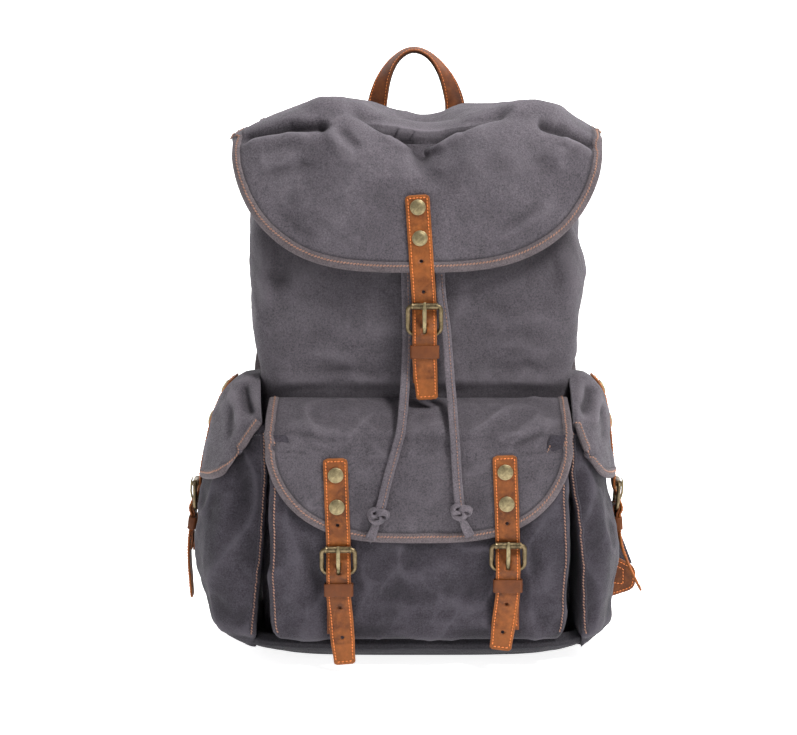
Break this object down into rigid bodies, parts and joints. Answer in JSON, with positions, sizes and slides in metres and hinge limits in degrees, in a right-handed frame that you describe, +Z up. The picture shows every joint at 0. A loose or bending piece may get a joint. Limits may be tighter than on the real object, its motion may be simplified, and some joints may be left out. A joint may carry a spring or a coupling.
{
  "type": "travel backpack",
  "caption": "Upright canvas rucksack with a buckled lid over a drawcord mouth, a flapped front pocket, flapped side pockets, a grab handle and padded shoulder straps.",
  "frame": {"origin": "centre of the flat underside the bag stands on", "axes": "+Z up, the front pocket faces -Y, +X to the right of someone looking at the front"},
  "size_m": [0.4089, 0.2838, 0.5286],
  "materials": {
    "waxed_canvas": "matte waxed",
    "waxed_canvas_dark": "matte waxed",
    "cotton_lining": "matte",
    "padded_mesh": "matte padded",
    "tan_leather": "satin",
    "brown_leather": "satin",
    "antique_brass": "antiqued",
    "cotton_webbing": "matte",
    "canvas_cord": "matte"
  },
  "bodies": {
    "bag": {"main_bag": "waxed_canvas", "lining": "cotton_lining", "back_panel": "padded_mesh", "front_pocket": "waxed_canvas_dark", "side_pocket_left": "waxed_canvas", "side_pocket_right": "waxed_canvas", "anchor_left": "tan_leather", "anchor_right": "tan_leather", "drawcord": "canvas_cord"},
    "lid": {"top_flap": "waxed_canvas", "top_billet": "tan_leather", "top_chape": "brown_leather", "top_buckle": "antique_brass", "top_snap_upper": "antique_brass", "top_snap_lower": "antique_brass"},
    "pocket_flap": {"front_flap": "waxed_canvas", "front_left_billet": "tan_leather", "front_left_chape": "brown_leather", "front_left_buckle": "antique_brass", "front_left_snap_upper": "antique_brass", "front_left_snap_lower": "antique_brass", "front_right_billet": "tan_leather", "front_right_chape": "brown_leather", "front_right_buckle": "antique_brass", "front_right_snap_upper": "antique_brass", "front_right_snap_lower": "antique_brass"},
    "side_flap_left_body": {"side_flap_left": "waxed_canvas", "side_left_billet": "tan_leather", "side_left_chape": "brown_leather", "side_left_buckle": "antique_brass", "side_left_snap_upper": "antique_brass", "side_left_snap_lower": "antique_brass"},
    "side_flap_right_body": {"side_flap_right": "waxed_canvas", "side_right_billet": "tan_leather", "side_right_chape": "brown_leather", "side_right_buckle": "antique_brass", "side_right_snap_upper": "antique_brass", "side_right_snap_lower": "antique_brass"},
    "grab_handle": {"handle": "tan_leather"},
    "shoulder_left": {"shoulder_pad_left": "padded_mesh", "lower_strap_left": "cotton_webbing"},
    "shoulder_right": {"shoulder_pad_right": "padded_mesh", "lower_strap_right": "cotton_webbing"},
    "slider_left": {"adjuster_left": "antique_brass"},
    "slider_right": {"adjuster_right": "antique_brass"},
    "top_roller_body": {"top_roller": "antique_brass"},
    "top_tongue_body": {"top_tongue": "antique_brass"},
    "top_keeper_body": {"top_keeper": "tan_leather"},
    "front_left_roller_body": {"front_left_roller": "antique_brass"},
    "front_left_tongue_body": {"front_left_tongue": "antique_brass"},
    "front_left_keeper_body": {"front_left_keeper": "tan_leather"},
    "front_right_roller_body": {"front_right_roller": "antique_brass"},
    "front_right_tongue_body": {"front_right_tongue": "antique_brass"},
    "front_right_keeper_body": {"front_right_keeper": "tan_leather"},
    "side_left_roller_body": {"side_left_roller": "antique_brass"},
    "side_left_tongue_body": {"side_left_tongue": "antique_brass"},
    "side_left_keeper_body": {"side_left_keeper": "tan_leather"},
    "side_right_roller_body": {"side_right_roller": "antique_brass"},
    "side_right_tongue_body": {"side_right_tongue": "antique_brass"},
    "side_right_keeper_body": {"side_right_keeper": "tan_leather"}
  },
  "joints": [
    {"name": "top_flap_hinge", "type": "hinge", "parent": "bag", "child": "lid", "pos_m": [0, 0.076, 0.464], "axis": [-1, 0, 0], "range_deg": [0, 80]},
    {"name": "front_flap_hinge", "type": "hinge", "parent": "bag", "child": "pocket_flap", "pos_m": [0, -0.1146, 0.2046], "axis": [-1, 0, 0], "range_deg": [0, 100], "deforming": ["drawcord"]},
    {"name": "left_flap_hinge", "type": "hinge", "parent": "bag", "child": "side_flap_left_body", "pos_m": [-0.1434, -0.016, 0.247], "axis": [0, 1, 0], "range_deg": [0, 80]},
    {"name": "right_flap_hinge", "type": "hinge", "parent": "bag", "child": "side_flap_right_body", "pos_m": [0.1392, -0.016, 0.247], "axis": [0, -1, 0], "range_deg": [0, 80]},
    {"name": "handle_hinge", "type": "hinge", "parent": "bag", "child": "grab_handle", "pos_m": [0, 0.097, 0.452], "axis": [-1, 0, 0], "range_deg": [-45, 60]},
    {"name": "top_roller_spin", "type": "hinge", "parent": "lid", "child": "top_roller_body", "pos_m": [0.006, -0.094, 0.311], "axis": [1, 0, 0], "continuous": true},
    {"name": "top_tongue_hinge", "type": "hinge", "parent": "lid", "child": "top_tongue_body", "pos_m": [0.006, -0.091, 0.287], "axis": [1, 0, 0], "range_deg": [0, 5]},
    {"name": "top_keeper_slide", "type": "slide", "parent": "lid", "child": "top_keeper_body", "axis": [0, 0, -1], "range_m": [0, 0.004]},
    {"name": "front_left_roller_spin", "type": "hinge", "parent": "pocket_flap", "child": "front_left_roller_body", "pos_m": [-0.067, -0.122, 0.107], "axis": [1, 0, 0], "continuous": true},
    {"name": "front_left_tongue_hinge", "type": "hinge", "parent": "pocket_flap", "child": "front_left_tongue_body", "pos_m": [-0.067, -0.119, 0.086], "axis": [1, 0, 0], "range_deg": [0, 5]},
    {"name": "front_left_keeper_slide", "type": "slide", "parent": "pocket_flap", "child": "front_left_keeper_body", "axis": [0, 0, -1], "range_m": [0, 0.004]},
    {"name": "front_right_roller_spin", "type": "hinge", "parent": "pocket_flap", "child": "front_right_roller_body", "pos_m": [0.0768, -0.122, 0.1105], "axis": [1, 0, 0], "continuous": true},
    {"name": "front_right_tongue_hinge", "type": "hinge", "parent": "pocket_flap", "child": "front_right_tongue_body", "pos_m": [0.0768, -0.119, 0.0895], "axis": [1, 0, 0], "range_deg": [0, 5]},
    {"name": "front_right_keeper_slide", "type": "slide", "parent": "pocket_flap", "child": "front_right_keeper_body", "axis": [0, 0, -1], "range_m": [0, 0.004]},
    {"name": "side_left_roller_spin", "type": "hinge", "parent": "side_flap_left_body", "child": "side_left_roller_body", "pos_m": [-0.19616, -0.016, 0.14556], "axis": [0, -1, 0], "continuous": true},
    {"name": "side_left_tongue_hinge", "type": "hinge", "parent": "side_flap_left_body", "child": "side_left_tongue_body", "pos_m": [-0.19625, -0.016, 0.12335], "axis": [0, -1, 0], "range_deg": [0, 5]},
    {"name": "side_left_keeper_slide", "type": "slide", "parent": "side_flap_left_body", "child": "side_left_keeper_body", "axis": [-0.1392, 0, -0.9903], "range_m": [0, 0.004]},
    {"name": "side_right_roller_spin", "type": "hinge", "parent": "side_flap_right_body", "child": "side_right_roller_body", "pos_m": [0.17939, -0.016, 0.14521], "axis": [0, 1, 0], "continuous": true},
    {"name": "side_right_tongue_hinge", "type": "hinge", "parent": "side_flap_right_body", "child": "side_right_tongue_body", "pos_m": [0.17755, -0.016, 0.12308], "axis": [0, 1, 0], "range_deg": [0, 5]},
    {"name": "side_right_keeper_slide", "type": "slide", "parent": "side_flap_right_body", "child": "side_right_keeper_body", "axis": [0.0523, 0, -0.9986], "range_m": [0, 0.004]},
    {"name": "shoulder_left_swing", "type": "hinge", "parent": "bag", "child": "shoulder_left", "pos_m": [-0.05, 0.1, 0.422], "axis": [-0.322, -0.0792, -0.9434], "range_deg": [-12, 12]},
    {"name": "shoulder_right_swing", "type": "hinge", "parent": "bag", "child": "shoulder_right", "pos_m": [0.05, 0.1, 0.422], "axis": [0.3509, -0.0784, -0.9331], "range_deg": [-12, 12]},
    {"name": "slider_left_slide", "type": "slide", "parent": "shoulder_left", "child": "slider_left", "axis": [-0.4163, -0.3535, -0.8377], "range_m": [-0.012, 0.008]},
    {"name": "slider_right_slide", "type": "slide", "parent": "shoulder_right", "child": "slider_right", "axis": [0.3882, -0.3583, -0.8491], "range_m": [-0.012, 0.008]}
  ]
}
